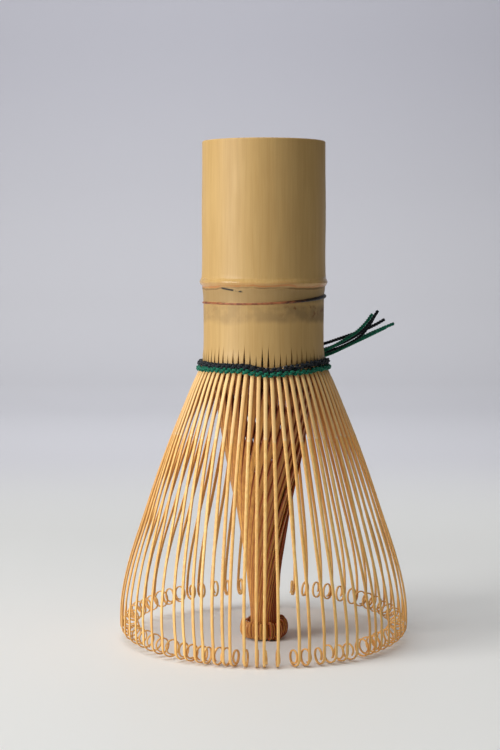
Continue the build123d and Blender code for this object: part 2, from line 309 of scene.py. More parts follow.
class Shader:
    """Short-hand for building the node tree of a material or a group."""

    def __init__(self, tree: bpy.types.NodeTree) -> None:
        """Work on one node tree."""
        self.tree = tree

    def add(self, kind: str, links: dict | None = None, **values) -> bpy.types.Node:
        """Add a node, set its properties or sockets, and link its inputs.

        Args:
            kind: Name of the node type.
            links: Input socket name or number to the output that feeds it.
            values: Properties of the node, or s0, s1... for its numbered inputs.

        Returns:
            The new node.
        """
        node = self.tree.nodes.new(kind)
        for key, value in values.items():
            if key[0] == "s" and key[1:].isdigit():
                node.inputs[int(key[1:])].default_value = value
            else:
                setattr(node, key, value)
        for key, output in (links or {}).items():
            self.tree.links.new(output, node.inputs[key])
        return node

    def math(self, operation: str, *terms: object) -> bpy.types.NodeSocket:
        """Output of a Math node whose terms are numbers or sockets."""
        node = self.tree.nodes.new("ShaderNodeMath")
        node.operation = operation
        for index, term in enumerate(terms):
            if isinstance(term, (int, float)):
                node.inputs[index].default_value = term
            else:
                self.tree.links.new(term, node.inputs[index])
        return node.outputs[0]

    def ramp(
        self, value: bpy.types.NodeSocket, low: float, high: float,
        start: float = 0.0, end: float = 1.0,
    ) -> bpy.types.NodeSocket:
        """Smoothly eased value from start at low to end at high."""
        node = self.tree.nodes.new("ShaderNodeMapRange")
        node.interpolation_type = "SMOOTHSTEP"
        self.tree.links.new(value, node.inputs[0])
        for index, number in enumerate((low, high, start, end), 1):
            node.inputs[index].default_value = number
        return node.outputs[0]

    def mix(
        self, share: object, first: object, second: object, blend: str = "MIX"
    ) -> bpy.types.NodeSocket:
        """Colour between two colours or colour sockets."""
        node = self.tree.nodes.new("ShaderNodeMix")
        node.data_type = "RGBA"
        node.blend_type = blend
        for index, term in ((0, share), (6, first), (7, second)):
            if isinstance(term, (int, float)):
                node.inputs[index].default_value = term
            elif isinstance(term, tuple):
                node.inputs[index].default_value = (*term, 1.0)
            else:
                self.tree.links.new(term, node.inputs[index])
        return node.outputs[2]


    def times(self, first: object, second: object) -> bpy.types.NodeSocket:
        """Product of two numbers or sockets."""
        return self.math("MULTIPLY", first, second)

    def layer(
        self, mask: object, share: float, under: object, over: object
    ) -> bpy.types.NodeSocket:
        """Colour with another laid over it where a mask is set, as far as share."""
        return self.mix(self.times(mask, share), under, over)

    def place(self) -> bpy.types.NodeSocket:
        """Object coordinates."""
        return self.add("ShaderNodeTexCoord").outputs["Object"]

    def parts(self, vector: bpy.types.NodeSocket) -> list[bpy.types.NodeSocket]:
        """X, Y and Z of a vector."""
        return list(self.add("ShaderNodeSeparateXYZ", {0: vector}).outputs)

    def noise(
        self, place: bpy.types.NodeSocket, scale: float, detail: float = 2.0
    ) -> bpy.types.NodeSocket:
        """Noise texture."""
        noise = self.add("ShaderNodeTexNoise", {0: place})
        noise.inputs["Scale"].default_value = scale
        noise.inputs["Detail"].default_value = detail
        return noise.outputs[0]

    def fibres(self, across: float, along: float, blotch: float) -> bpy.types.Node:
        """The shared fibre group, at this material's scales."""
        node = self.add("ShaderNodeGroup", node_tree=FIBRES)
        for name, value in (("Across", across), ("Along", along), ("Blotch", blotch)):
            node.inputs[name].default_value = value
        return node

    def bump(
        self, surface: bpy.types.Node, height: bpy.types.NodeSocket,
        strength: float, distance: float,
    ) -> None:
        """Feed a surface's normal from a height."""
        bump = self.add("ShaderNodeBump", {"Height": height})
        bump.inputs["Strength"].default_value = strength
        bump.inputs["Distance"].default_value = distance
        self.tree.links.new(bump.outputs[0], surface.inputs["Normal"])


def fibre_group() -> bpy.types.NodeTree:
    """Shared group: long vertical bamboo fibres with fine breaks and slow blotches."""
    group = bpy.data.node_groups.new("BambooFibres", "ShaderNodeTree")
    for name, value in (("Across", 900.0), ("Along", 45.0), ("Blotch", 90.0)):
        socket = group.interface.new_socket(
            name, in_out="INPUT", socket_type="NodeSocketFloat"
        )
        socket.default_value = value
    for name in ("Fibres", "Fine", "Blotches"):
        group.interface.new_socket(name, in_out="OUTPUT", socket_type="NodeSocketFloat")
    tree = Shader(group)
    given = group.nodes.new("NodeGroupInput")
    place = tree.place()

    def streaks(
        scale: bpy.types.NodeSocket, along: bpy.types.NodeSocket, detail: float
    ) -> bpy.types.NodeSocket:
        """Noise stretched along the culm."""
        stretch = tree.add(
            "ShaderNodeCombineXYZ", {0: scale, 1: scale, 2: along}
        ).outputs[0]
        scaled = tree.add(
            "ShaderNodeVectorMath", {0: place, 1: stretch}, operation="MULTIPLY"
        ).outputs[0]
        noise = tree.noise(scaled, 1.0, detail)
        noise.node.inputs["Roughness"].default_value = 0.6
        return noise

    coarse = streaks(given.outputs["Across"], given.outputs["Along"], 3.0)
    thin = tree.times(given.outputs["Across"], 4.3)
    fine = streaks(thin, tree.times(given.outputs["Along"], 2.2), 2.0)
    wide = given.outputs["Blotch"]
    blotch = streaks(wide, tree.times(wide, 0.45), 2.0)
    tree.add(
        "NodeGroupOutput",
        {
            "Fibres": tree.ramp(coarse, 0.32, 0.68),
            "Fine": tree.ramp(fine, 0.30, 0.70),
            "Blotches": tree.ramp(blotch, 0.35, 0.65),
        },
    )
    return group


FIBRES = fibre_group()


def principled(
    name: str, roughness: float, specular: float = 0.5, coat: float = 0.0
) -> tuple[bpy.types.Material, Shader, bpy.types.Node]:
    """New material with its Principled shader and constants in place."""
    material = bpy.data.materials.new(name)
    material.use_nodes = True
    shader = Shader(material.node_tree)
    surface = material.node_tree.nodes["Principled BSDF"]
    surface.inputs["Roughness"].default_value = roughness
    surface.inputs["Specular IOR Level"].default_value = specular
    surface.inputs["Coat Weight"].default_value = coat
    surface.inputs["Coat Roughness"].default_value = 0.3
    return material, shader, surface


@dataclass(frozen=True)
class CulmFinish:
    """Skin of the uncut culm: straw, with fibres, the node's scars, painted shade in the
    groove under its ridge and a damp stain.
    """

    straw: Colour = linear(202, 165, 105)
    shade: Colour = linear(180, 141, 82)
    pale: Colour = linear(212, 181, 124)
    stain: Colour = linear(140, 114, 76)
    ridge: Colour = linear(190, 122, 66)
    # The dark pores of the cut rim, and painted shade in the groove under the node ridge.
    crease: Colour = linear(92, 62, 38)
    speck: Colour = linear(120, 72, 38)
    inside: Colour = linear(178, 128, 74)
    cut: Colour = linear(206, 172, 118)
    scorched: Colour = linear(30, 24, 18)
    stain_band: Band = (70.6, 74.3, 0.7)
    speck_band: Band = (71.6, 74.3, 0.6)
    under_node: Band = (74.9, 78.0, 0.5)
    # Painted shade in the groove at the foot of the node ridge.
    groove_shade_band: Band = (77.95, 78.30, 0.12)
    ridge_band: Band = (78.3, 79.3, 0.25)
    rust_band: Band = (78.38, 78.68, 0.10)
    polished: Band = (78.55, 80.0, 0.25)
    scratch_z: float = 73.6
    scratch_climb: float = 1.9
    rim_z: tuple[float, float] = (109.85, 109.95)
    inside_radius: tuple[float, float] = (12.85, 13.22)

    def material(self) -> bpy.types.Material:
        """Build the culm's material."""
        material, tree, surface = principled("culm_skin", 0.46, 0.35, 0.06)
        links = material.node_tree.links
        fibres = tree.fibres(850.0, 38.0, 110.0)
        place = tree.place()
        x, y, z = tree.parts(place)
        radius = tree.math("SQRT", tree.math("ADD", tree.times(x, x), tree.times(y, y)))
        azimuth = tree.math("ARCTAN2", y, x)
        grain = tree.noise(place, 420.0, 4.0)
        soft = tree.noise(place, 150.0)
        cloud = tree.noise(place, 330.0, 5.0)
        wander = tree.times(tree.math("SUBTRACT", soft, 0.5), 0.0022)
        height = tree.math("ADD", z, wander)

        def ring(band: Band) -> bpy.types.NodeSocket:
            """Mask of a ring of the culm: its two heights and the width of its edges."""
            low, high, edge = band
            up = tree.ramp(height, (low - edge) * MM, (low + edge) * MM)
            down = tree.ramp(height, (high - edge) * MM, (high + edge) * MM, 1.0, 0.0)
            return tree.times(up, down)

        colour = tree.layer(fibres.outputs["Fibres"], 0.42, self.straw, self.shade)
        colour = tree.layer(fibres.outputs["Fine"], 0.30, colour, self.pale)
        colour = tree.layer(fibres.outputs["Blotches"], 0.22, colour, self.shade)
        right = tree.ramp(azimuth, -1.9, -0.8, 0.55, 1.0)
        stain = tree.times(ring(self.stain_band), tree.ramp(cloud, 0.30, 0.60, 0.35))
        stain = tree.times(stain, right)
        colour = tree.layer(stain, 0.80, colour, self.stain)
        colour = tree.layer(ring(self.under_node), 0.5, colour, self.stain)
        specks = tree.times(tree.ramp(grain, 0.58, 0.64), ring(self.speck_band))
        specks = tree.times(specks, tree.ramp(azimuth, -1.35, -1.0, 0.25, 1.0))
        colour = tree.layer(specks, 0.65, colour, self.speck)
        colour = tree.layer(ring(self.ridge_band), 0.25, colour, self.ridge)
        rust = tree.times(ring(self.rust_band), tree.ramp(cloud, 0.35, 0.55, 0.3))
        colour = tree.layer(rust, 0.85, colour, self.ridge)
        # Painted shade in the thin groove at the foot of the node ridge, which the mesh does
        # not cut.
        crease = tree.times(ring(self.groove_shade_band), tree.ramp(soft, 0.35, 0.6))
        colour = tree.layer(crease, 0.6, colour, self.crease)
        line = tree.math("ADD", z, tree.times(azimuth, self.scratch_climb * MM))
        scratch = tree.math("ABSOLUTE", tree.math("SUBTRACT", line, self.scratch_z * MM))
        scratch = tree.ramp(scratch, 0.00008, 0.00030, 1.0, 0.0)
        reach = tree.times(tree.ramp(azimuth, -2.34, -2.28),
                           tree.ramp(azimuth, -1.96, -1.90, 1.0, 0.0))
        scratch = tree.times(tree.times(scratch, reach), tree.ramp(grain, 0.44, 0.52))
        colour = tree.mix(scratch, colour, self.scorched)
        low, high = self.inside_radius
        colour = tree.mix(tree.ramp(radius, low * MM, high * MM, 1.0, 0.0),
                          colour, self.inside)
        pores = tree.add("ShaderNodeTexVoronoi", {0: place})
        pores.inputs["Scale"].default_value = 1500.0
        dots = tree.ramp(pores.outputs["Distance"], 0.25, 0.45, 1.0, 0.0)
        low, high = self.rim_z
        colour = tree.mix(tree.ramp(z, low * MM, high * MM), colour,
                          tree.layer(dots, 0.5, self.cut, self.crease))
        links.new(colour, surface.inputs["Base Color"])
        rough = tree.math("ADD", 0.44, tree.times(fibres.outputs["Blotches"], 0.12))
        rough = tree.math("ADD", rough, tree.times(stain, 0.15))
        rough = tree.math("SUBTRACT", rough, tree.times(ring(self.polished), 0.36))
        links.new(rough, surface.inputs["Roughness"])
        tree.bump(surface, fibres.outputs["Fine"], 0.10, 0.0001)
        return material


@dataclass(frozen=True)
class TineFinish:
    """Split bamboo: skin on its outer face, rawer wood on its sides and inner face, with
    painted shade near the roots and partly along the edges.
    """

    name: str
    skin: Colour
    golden: Colour
    side: Colour
    # Painted shade near the roots, where the tines go in under the thread.
    root: Colour
    shave_z: float | None
    # How far the painted root shade reaches onto the outer face.
    root_shade_on_face: float = 0.0
    tone_share: float = 0.30
    # Share of the side colour along the edges: partly the cut sides' own colour, partly
    # painted shade between the splints.
    side_and_edge_shade_share: float = 0.35
    shaving: Colour = linear(244, 228, 194)
    raw_z: tuple[float, float] = (0.008, 0.045)
    # Heights over which the painted root shade comes in.
    root_shade_z: tuple[float, float] = (0.044, 0.060)

    def material(self) -> bpy.types.Material:
        """Build the tines' material."""
        material, tree, surface = principled(self.name, 0.42, 0.4, 0.05)
        links = material.node_tree.links
        fibres = tree.fibres(2600.0, 90.0, 140.0)
        marks = tree.add("ShaderNodeAttribute", attribute_name="marks")
        _, outer, tone = tree.add(
            "ShaderNodeSeparateColor", {0: marks.outputs["Color"]}
        ).outputs
        z = tree.parts(tree.place())[2]
        colour = tree.layer(fibres.outputs["Fibres"], 0.45, self.golden, self.side)
        if self.shave_z is not None:
            level = tree.math("ADD", z, tree.times(tone, 0.0011))
            above = tree.ramp(level, self.shave_z - 0.0002, self.shave_z + 0.0002)
            colour = tree.layer(above, 0.75, colour, self.skin)
            tick = tree.ramp(
                tree.math("ABSOLUTE", tree.math("SUBTRACT", level, self.shave_z)),
                0.00005, 0.00035, 1.0, 0.0)
            tick = tree.times(tick, tree.ramp(tone, 0.35, 0.8, 0.5, 0.1))
            colour = tree.mix(tick, colour, self.shaving)
        # Along the edges: partly the cut sides' own colour, partly painted shade between the
        # splints.
        edge = tree.ramp(marks.outputs["Alpha"], 0.55, 1.0)
        colour = tree.layer(edge, self.side_and_edge_shade_share, colour, self.side)
        inner = tree.ramp(outer, 0.20, 0.75, 1.0, 0.0)
        raw = tree.times(inner, tree.ramp(z, *self.raw_z, 0.12, 0.85))
        colour = tree.mix(raw, colour, self.side)
        # Painted shade: the tines darken towards their roots under the thread, on the inner
        # face and partly on the outer face.
        reach = tree.math("MAXIMUM", inner, self.root_shade_on_face)
        colour = tree.mix(tree.times(tree.ramp(z, *self.root_shade_z), reach), colour, self.root)
        colour = tree.layer(tone, self.tone_share, colour, self.side)
        links.new(colour, surface.inputs["Base Color"])
        rough = tree.math("ADD", 0.36, tree.times(fibres.outputs["Blotches"], 0.16))
        links.new(rough, surface.inputs["Roughness"])
        tree.bump(surface, fibres.outputs["Fine"], 0.15, 0.0001)
        return material


@dataclass(frozen=True)
class CottonFinish:
    """Dyed cotton thread with a fibrous, slightly uneven dye."""

    name: str
    dye: Colour
    worn: Colour

    def material(self) -> bpy.types.Material:
        """Build the thread's material."""
        material, tree, surface = principled(self.name, 0.85, 0.25)
        surface.inputs["Sheen Weight"].default_value = 0.25
        surface.inputs["Sheen Roughness"].default_value = 0.4
        fuzz = tree.noise(tree.place(), 2600.0, 3.0)
        colour = tree.mix(tree.ramp(fuzz, 0.42, 0.72), self.dye, self.worn)
        material.node_tree.links.new(colour, surface.inputs["Base Color"])
        tree.bump(surface, fuzz, 0.6, 0.00012)
        return material


@dataclass(frozen=True)
class ScarFinish:
    """Raised sheath scar: copper-brown, near black round its right side."""

    copper: Colour = linear(168, 102, 62)
    brown: Colour = linear(120, 66, 40)
    near_black: Colour = linear(34, 24, 20)

    def material(self) -> bpy.types.Material:
        """Build the scar's material."""
        material, tree, surface = principled("sheath_scar", 0.42, 0.5)
        place = tree.place()
        x, y, _ = tree.parts(place)
        crust = tree.noise(place, 700.0, 4.0)
        wander = tree.times(tree.math("SUBTRACT", crust, 0.5), 0.8)
        turn = tree.math("ADD", tree.math("ARCTAN2", y, x), wander)
        # Near black round the right side of the ring.
        black = tree.times(tree.ramp(turn, -1.35, -0.85),
                           tree.ramp(turn, 0.9, 1.6, 1.0, 0.0))
        copper = tree.mix(tree.ramp(crust, 0.4, 0.7), self.copper, self.brown)
        colour = tree.mix(black, copper, self.near_black)
        material.node_tree.links.new(colour, surface.inputs["Base Color"])
        tree.bump(surface, crust, 0.5, 0.0002)
        return material


class Dye(Enum):
    """The two threads and the finish and slot of each."""

    BLACK = "black"
    GREEN = "green"

    @property
    def slot(self) -> str:
        """Material slot of the record."""
        return f"{self.value}_cotton"

    @property
    def finish(self) -> CottonFinish:
        """Finish of this thread."""
        if self is Dye.BLACK:
            return CottonFinish("black_cotton", linear(13, 19, 27), linear(34, 44, 52))
        return CottonFinish("green_cotton", linear(0, 92, 72), linear(22, 130, 100))


COTTON = {dye: dye.finish.material() for dye in Dye}


PLY_SHARE = {2: 0.56, 3: 0.52}    # a ply's radius over the thread's


def arc_lengths(path: Sequence[Vector]) -> list[float]:
    """Distance along a path at each of its points."""
    total = [0.0]
    for before, after in zip(path, path[1:]):
        total.append(total[-1] + (after - before).length)
    return total


def ply_stations(
    path: Sequence[Vector], ply: int, plies: int, radius: float, turn: float,
    squash: Callable[[int], float] | None = None,
) -> list[Station]:
    """Stations of one ply of a twisted thread.

    Args:
        path: Middle line of the thread, close set.
        ply: Number of this ply.
        plies: Number of plies twisted together.
        radius: Radius of the whole thread in metres.
        turn: Length of thread in which a ply goes once round.
        squash: Share of the full size at a numbered point, or None.

    Returns:
        Stations for MeshBuilder.strip.
    """
    lengths = arc_lengths(path)
    ply_radius = radius * PLY_SHARE[plies]
    offset = radius - ply_radius
    side = (path[1] - path[0]).orthogonal().normalized()
    stations = []
    for index, point in enumerate(path):
        ahead = path[min(index + 1, len(path) - 1)] - path[max(index - 1, 0)]
        ahead.normalize()
        side = (side - ahead * side.dot(ahead)).normalized()
        up = ahead.cross(side)
        angle = 2 * pi * (lengths[index] / turn + ply / plies)
        out = side * cos(angle) + up * sin(angle)
        size = squash(index) if squash else 1.0
        stations.append(Station(
            point + out * offset * size, ahead.cross(out), out,
            2 * ply_radius * size, 2 * ply_radius * size,
        ))
    return stations


@dataclass
class FreeEnd:
    """One free end of a thread, from its knot behind the culm out to the right.

    Args:
        node: Name of the frame's node that it stands for.
        dye: Colour of the thread.
        route: Control points in millimetres, from the knot to the tip.
        length: Real length in metres; not used.
        diameter: Thickness of the thread in metres.
        ply_reach: Outer radius of the twist over the diameter; the plies stand apart.
        ply_turn: Length of thread in which a ply goes once round.
        plies: Number of plies.
    """

    node: str
    dye: Dye
    route: tuple[Point, ...]
    length: float
    diameter: float = 0.55 * MM
    ply_reach: float = 0.70
    ply_turn: float = 2.0 * MM
    plies: int = 3

    def smooth_route(self) -> list[Vector]:
        """Points along the NURBS line that the route's points control."""
        curve = bpy.data.curves.new(self.node + "_route", "CURVE")
        curve.dimensions = "3D"
        curve.resolution_u = 64
        spline = curve.splines.new("NURBS")
        spline.points.add(len(self.route) - 1)
        for control, (x, y, z) in zip(spline.points, self.route):
            control.co = (x * MM, y * MM, z * MM, 1.0)
        spline.order_u = 3
        spline.use_endpoint_u = True
        holder = bpy.data.objects.new(self.node + "_route", curve)
        bpy.context.scene.collection.objects.link(holder)
        bpy.context.view_layer.update()
        depsgraph = bpy.context.evaluated_depsgraph_get()
        mesh = bpy.data.meshes.new_from_object(holder.evaluated_get(depsgraph))
        points = [vert.co.copy() for vert in mesh.vertices]
        bpy.data.objects.remove(holder)
        bpy.data.curves.remove(curve)
        bpy.data.meshes.remove(mesh)
        return points

    def build(self) -> bpy.types.Object:
        """Twist the plies along the route, drawn in at the cut tip."""
        path = self.smooth_route()
        last = len(path) - 1
        builder = MeshBuilder()

        def taper(index: int) -> float:
            """The cut tip is drawn in."""
            return 1.0 if index < last else 0.75

        for ply in range(self.plies):
            stations = ply_stations(
                path, ply, self.plies, self.diameter * self.ply_reach, self.ply_turn, taper)
            builder.strip(stations, Section.ROUND, ply / self.plies)
        piece = builder.piece("free_" + self.node, COTTON[self.dye])
        settle(piece, "handle", [self.node])
        return piece


FREE_ENDS = (
    FreeEnd("black_tail_1", Dye.BLACK, (
        (-3.9, 14.9, 61.75), (3.8, 15.9, 62.4), (11.8, 13.2, 64.1),
        (18.6, 10.4, 66.6), (25.0, 8.6, 69.0), (27.4, 7.6, 70.7)), 34.2 * MM),
    FreeEnd("black_tail_2", Dye.BLACK, (
        (-3.6, 15.4, 61.6), (4.4, 16.6, 62.1), (12.6, 13.6, 63.0),
        (19.4, 9.6, 65.7), (23.6, 6.7, 69.0), (25.7, 5.2, 72.7)), 35.5 * MM),
    FreeEnd("black_tail_3", Dye.BLACK, (
        (-4.1, 15.7, 60.95), (4.8, 17.8, 61.9), (13.4, 14.6, 62.6),
        (20.0, 10.9, 64.9), (23.6, 8.4, 68.2), (25.2, 7.4, 71.6)), 35.3 * MM),
    FreeEnd("green_tail_1", Dye.GREEN, (
        (0.0, 15.5, 60.2), (5.6, 15.7, 60.9), (13.0, 12.4, 62.7),
        (18.6, 8.6, 66.0), (22.6, 5.2, 69.1), (24.3, 3.6, 72.0)), 31.1 * MM),
    FreeEnd("green_tail_2", Dye.GREEN, (
        (-0.1, 16.0, 59.6), (6.0, 16.7, 60.2), (13.8, 13.6, 61.7),
        (19.8, 9.4, 64.9), (24.0, 6.6, 67.1), (27.6, 5.0, 69.0)), 32.4 * MM),
    FreeEnd("green_tail_3", Dye.GREEN, (
        (0.05, 16.2, 60.25), (6.4, 17.6, 60.8), (14.4, 14.9, 62.3),
        (20.8, 11.4, 65.6), (25.6, 9.4, 68.0), (29.6, 8.2, 69.7)), 33.1 * MM),
)


@dataclass
class Studio:
    """Camera, pale table, wall and soft daylight from the left."""

    distance: float = 0.3723
    height: float = 0.084
    pitch: float = 3.91
    aside: float = -0.00303
    lens: float = 80.64

    def camera(self) -> None:
        """Place the camera."""
        data = bpy.data.cameras.new("camera")
        data.lens = self.lens
        data.sensor_width = 36.0
        data.clip_start = 0.01
        camera = bpy.data.objects.new("camera", data)
        camera.location = (self.aside, -self.distance, self.height)
        camera.rotation_euler = (radians(90.0 - self.pitch), 0.0, 0.0)
        bpy.context.scene.collection.objects.link(camera)
        bpy.context.scene.camera = camera

    def table(self) -> None:
        """Build the table and the wall behind it as one curved sheet, with painted shade:
        darker to the right, towards the back and up the wall.
        """
        bm = bmesh.new()
        bmesh.ops.create_grid(bm, x_segments=2, y_segments=40, size=1.0)
        flat_end, bend, wall_top = 0.62, 0.25, 2.2
        start = -1.2
        length = flat_end - start + bend * pi / 2 + wall_top
        for vert in bm.verts:
            run = (vert.co.y + 1.0) / 2.0 * length
            vert.co.x *= 2.5
            y = start + run
            if y <= flat_end:
                vert.co.y, vert.co.z = y, 0.0
                continue
            angle = min((y - flat_end) / bend, pi / 2)
            rest = max(y - flat_end - bend * pi / 2, 0.0)
            vert.co.y = flat_end + bend * sin(angle)
            vert.co.z = bend * (1 - cos(angle)) + rest
        for face in bm.faces:
            face.smooth = True
        material, tree, surface = principled("table_and_wall", 0.55, 0.25)
        x, y, z = tree.parts(tree.place())
        # Painted shade: the table darkens to the right of x = 0.13 m, so that it throws less
        # light onto the whisk's right side.
        pale = tree.mix(tree.ramp(x, 0.13, 0.40), linear(236, 237, 235), linear(120, 120, 122))
        # Painted shade: the wall darkens towards its top.
        wall = tree.mix(tree.ramp(z, 0.02, 0.26), linear(212, 212, 217), linear(188, 188, 197))
        # Painted shade: the floor turns to the wall's greyer colour towards the back, from y =
        # 0.14 m.
        colour = tree.mix(tree.ramp(y, 0.14, 0.36), pale, wall)
        material.node_tree.links.new(colour, surface.inputs["Base Color"])
        finish_mesh(bm, "table", material)

    def light(
        self, name: str, place: Point, target: Point, size: float, power: float,
        colour: Colour = (1.0, 1.0, 1.0),
    ) -> None:
        """Place one square soft light that faces its target."""
        data = bpy.data.lights.new(name, "AREA")
        data.size = size
        data.energy = power
        data.color = colour
        lamp = bpy.data.objects.new(name, data)
        lamp.location = place
        facing = Vector(target) - Vector(place)
        lamp.rotation_euler = facing.to_track_quat("-Z", "Y").to_euler()
        bpy.context.scene.collection.objects.link(lamp)

    def build(self) -> None:
        """Set up the whole studio."""
        scene = bpy.context.scene
        scene.view_settings.view_transform = "Standard"
        world = bpy.data.worlds.new("room")
        world.use_nodes = True
        world.node_tree.nodes["Background"].inputs[0].default_value = (0.92, 0.91, 0.90, 1)
        world.node_tree.nodes["Background"].inputs[1].default_value = 0.05
        scene.world = world
        self.table()
        self.light("window", (-0.78, -0.38, 0.36), (0, 0, 0.05), 0.50, 7.2, (1.0, 0.985, 0.96))
        self.light("overhead", (-0.16, -0.14, 1.05), (0, -0.06, 0), 0.6, 6.2)
        self.light("wall_wash", (-0.06, 0.34, 0.40), (0.20, 0.95, 0.10), 0.3, 1.0,
                   (0.95, 0.97, 1.0))


@dataclass
class OuterTines:
    """The bell of outer tines, in the sections that bend together."""

    root_width: float = 0.86
    tip_width: float = 0.66
    root_thick: float = 0.50
    tip_thick: float = 0.27
    shave_z: float = 46.4
    shape: Outline = Outline(
        ((0.0, 0.0), (0.21, 0.29), (0.39, 0.505), (0.58, 0.705), (0.76, 0.89),
         (0.90, 0.985), (1.0, 1.0)), 1.74, 0.0)
    top_z: float = 61.38
    curl_radius: float = 2.0
    curl_turns: float = 1.20
    curl_shrink: float = 0.27 / pi
    curl_narrowing: float = 0.22
    shave_notch: float = 0.94
    opening: float = 11.0
    drift_top: float = 58.5
    drift_fall: float = 54.0
    drift_power: float = 1.15
    stem_steps: int = 26
    curl_steps: int = 30

    def stations(self, index: int) -> list[Station]:
        """Cross-sections of one tine, from its root to the end of its curl."""
        azimuth = SIZES.azimuth(index)
        lift = SIZES.tip_lift(azimuth)
        curl_radius = self.curl_radius + 0.12 * wobble(index, 5)
        turn = 2 * pi * (self.curl_turns + 0.12 * wobble(index, 6))
        drift = SIZES.drift(index)
        foot = azimuth + drift
        opened = self.opening * max(min(-cos(radians(foot)) / 0.2, 1.0), -1.0)
        opened *= 0.5 - 0.5 * sin(radians(foot))
        twist = radians(opened + 7.0 * wobble(index, 7))
        step_aside = 0.10 * wobble(index, 8)
        bow_side, bow_out = 0.16 * wobble(index, 9), 0.12 * wobble(index, 10)
        top_z = self.top_z + row_dip(azimuth)
        root_r = SIZES.comb_radius - 0.05 - self.root_thick / 2
        end_r = SIZES.bell_radius - self.tip_thick / 2
        end_z = lift + curl_radius + self.tip_thick / 2
        line = []
        for step in range(self.stem_steps + 1):
            fall = step / self.stem_steps
            bow = sin(pi * fall) ** 1.5
            line.append(Vector((
                root_r + (end_r - root_r) * self.shape.at(fall) + bow_out * bow,
                bow_side * bow,
                top_z + (end_z - top_z) * fall,
            )))
        for step in range(1, self.curl_steps + 1):
            angle = turn * step / self.curl_steps
            radius = curl_radius - self.curl_shrink * angle
            inward = curl_radius - radius * cos(angle)
            line.append(Vector((
                end_r - inward * cos(twist),
                inward * sin(twist) + step_aside * angle,
                end_z - radius * sin(angle),
            )))

        def place(at: Vector) -> Matrix:
            """Turn from the tine's own plane to its place, further round lower down."""
            share = min(max((self.drift_top - at.z) / self.drift_fall, 0.0), 1.0)
            turned = azimuth + drift * share**self.drift_power
            return Matrix.Rotation(radians(turned), 4, "Z")

        stations = []
        total = arc_lengths(line)
        for step, point in enumerate(line):
            ahead = line[min(step + 1, len(line) - 1)] - line[max(step - 1, 0)]
            ahead.normalize()
            curl = max(0.0, (total[step] - total[self.stem_steps]) / 6.0)
            wide = Vector((sin(twist), cos(twist), 0)) if curl > 0 else Vector((0, 1, 0))
            across = (wide - ahead * wide.dot(ahead)).normalized()
            outward = ahead.cross(across)
            share = min(total[step] / total[self.stem_steps], 1.0)
            notch = 1.0 if point.z > self.shave_z else self.shave_notch
            width = (self.root_width + (self.tip_width - self.root_width) * share) * notch
            width *= 1.0 - self.curl_narrowing * min(curl, 1.0)
            thick = self.root_thick + (self.tip_thick - self.root_thick) * share
            here = place(point)
            turned = here.to_3x3()
            stations.append(Station(
                (here @ point) * MM, turned @ across, turned @ outward,
                width * MM, thick * MM,
            ))
        return stations

    def build(self) -> None:
        """Make one piece for each section of the culm."""
        finish = TineFinish(
            "outer_tine", skin=linear(248, 212, 150), golden=linear(254, 214, 136),
            # The root colour is painted shade near the roots.
            side=linear(218, 144, 60), root=linear(126, 54, 18),
            shave_z=self.shave_z * MM)
        material = finish.material()
        for segment in range(SIZES.segments):
            builder = MeshBuilder()
            for tine in range(SIZES.tines_per_segment):
                index = segment * SIZES.tines_per_segment + tine
                tone = 0.5 + 0.5 * wobble(index, 4)
                builder.strip(self.stations(index), Section.SPLINT, tone)
            name = f"{segment + 1:02d}"
            piece = builder.piece(f"bell_tines_{name}", material)
            settle(piece, f"outer_segment_{name}", [f"outer_tines_{name}"])


